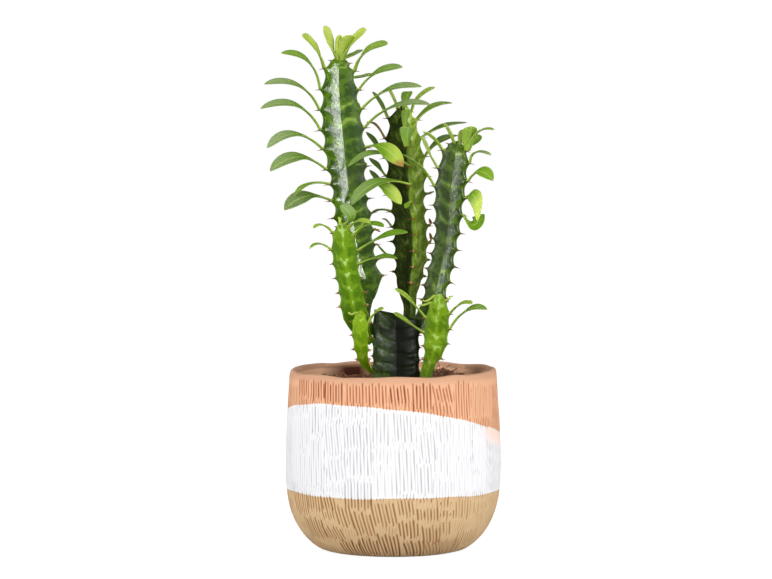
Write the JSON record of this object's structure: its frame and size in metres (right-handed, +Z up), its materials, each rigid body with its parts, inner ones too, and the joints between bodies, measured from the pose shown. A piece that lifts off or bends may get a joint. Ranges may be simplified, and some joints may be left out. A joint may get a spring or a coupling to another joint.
{
  "type": "potted cactus",
  "caption": "Upright three-ribbed succulent with small leaves and paired thorns, in a round combed earthenware pot.",
  "frame": {"origin": "centre of the pot's flat base, where it stands", "axes": "+Z up out of the pot along the stems, -Y towards the front of the plant, where the small shoots stand, +X to the right as seen from the front"},
  "size_m": [0.1682, 0.1512, 0.3677],
  "materials": {
    "earthenware": "matte",
    "potting_soil": "matte",
    "trunk_skin": "satin",
    "column_left_skin": "satin",
    "column_middle_skin": "satin",
    "column_right_skin": "satin",
    "shoot_left_upper_skin": "satin",
    "shoot_left_lower_skin": "satin",
    "shoot_right_lower_skin": "satin"
  },
  "bodies": {
    "root": {"pot": "earthenware", "soil": "potting_soil", "trunk": "trunk_skin", "column_left": "column_left_skin", "column_middle": "column_middle_skin", "column_right": "column_right_skin", "shoot_left_upper": "shoot_left_upper_skin", "shoot_left_lower": "shoot_left_lower_skin", "shoot_right_lower": "shoot_right_lower_skin"}
  },
  "joints": []
}
